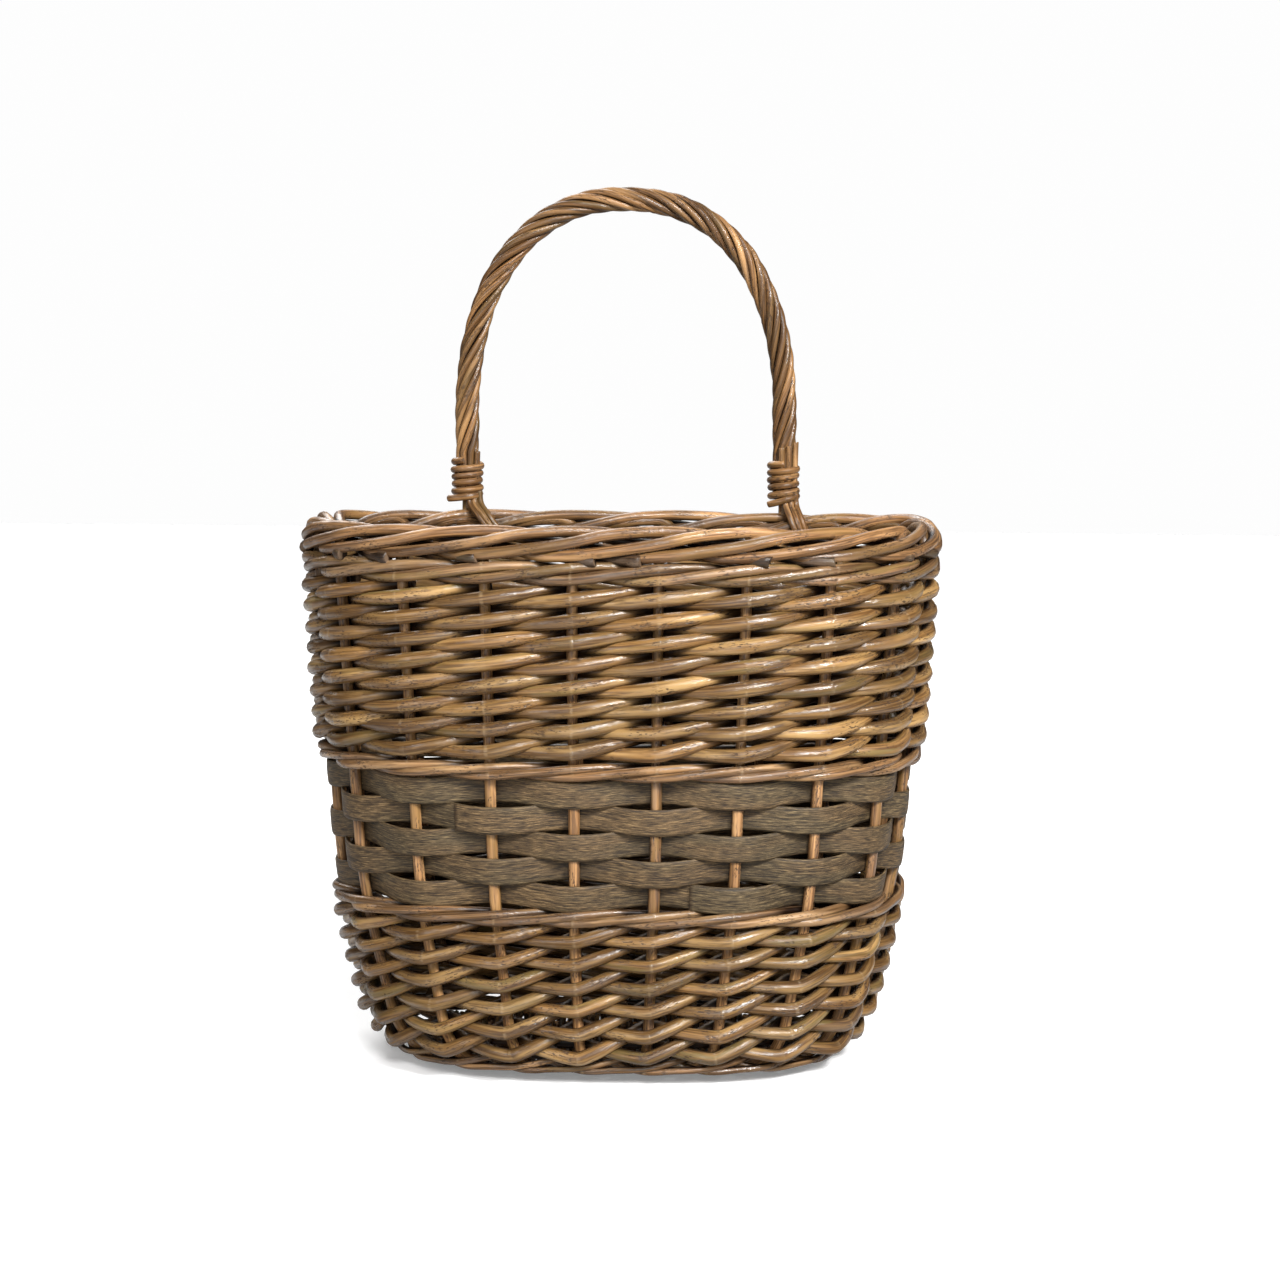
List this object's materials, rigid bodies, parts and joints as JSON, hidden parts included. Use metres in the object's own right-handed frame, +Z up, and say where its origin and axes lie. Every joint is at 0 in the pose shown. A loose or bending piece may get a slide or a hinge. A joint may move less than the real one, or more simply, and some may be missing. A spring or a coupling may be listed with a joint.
{
  "type": "woven market basket",
  "caption": "Open woven willow market basket with a D-shaped plan, a band of flat wood strips and one fixed roped bow handle at its flat back.",
  "frame": {"origin": "on the floor under the middle of the basket's bounding box", "axes": "+Z up to the top of the handle; the bowed front faces -Y, and the flat back with the handle stands at +Y; +X is the viewer's right from the front"},
  "size_m": [0.3794, 0.2161, 0.519],
  "materials": {
    "rand_willow": "semi-gloss varnished golden brown willow rods",
    "wale_willow": "semi-gloss varnished light orange-brown willow rods",
    "stake_willow": "satin orange-brown willow stakes",
    "chip_wood": "matte grey-brown flat wood strips with a fine grain",
    "handle_willow": "satin mid-brown willow rods"
  },
  "bodies": {
    "root": {"base_stick_1": "stake_willow", "base_stick_2": "stake_willow", "base_stick_3": "stake_willow", "base_weave": "rand_willow", "border_cap_rod": "wale_willow", "border_inner_rod": "wale_willow", "border_outer_rod": "wale_willow", "chip_strip_1": "chip_wood", "chip_strip_2": "chip_wood", "chip_strip_3": "chip_wood", "chip_strip_4": "chip_wood", "chip_strip_5": "chip_wood", "foot_wale": "wale_willow", "handle_bow": "handle_willow", "handle_wrap_1": "handle_willow", "handle_wrap_2": "handle_willow", "left_handle_binding": "handle_willow", "left_handle_tail_1": "handle_willow", "left_handle_tail_2": "handle_willow", "lower_rand_round_1": "rand_willow", "lower_rand_round_2": "rand_willow", "lower_rand_round_3": "rand_willow", "lower_rand_round_4": "rand_willow", "lower_rand_round_5": "rand_willow", "lower_rand_round_6": "rand_willow", "lower_wale": "wale_willow", "middle_wale": "wale_willow", "right_handle_binding": "handle_willow", "right_handle_tail_1": "handle_willow", "right_handle_tail_2": "handle_willow", "stake_01": "stake_willow", "stake_02": "stake_willow", "stake_03": "stake_willow", "stake_04": "stake_willow", "stake_05": "stake_willow", "stake_06": "stake_willow", "stake_07": "stake_willow", "stake_08": "stake_willow", "stake_09": "stake_willow", "stake_10": "stake_willow", "stake_11": "stake_willow", "stake_12": "stake_willow", "stake_13": "stake_willow", "stake_14": "stake_willow", "stake_15": "stake_willow", "stake_16": "stake_willow", "stake_17": "stake_willow", "stake_18": "stake_willow", "stake_19": "stake_willow", "stake_20": "stake_willow", "top_wale": "wale_willow", "upper_rand_round_1": "rand_willow", "upper_rand_round_2": "rand_willow", "upper_rand_round_3": "rand_willow", "upper_rand_round_4": "rand_willow", "upper_rand_round_5": "rand_willow", "upper_rand_round_6": "rand_willow", "upper_rand_round_7": "rand_willow", "upper_rand_round_8": "rand_willow"}
  },
  "joints": []
}
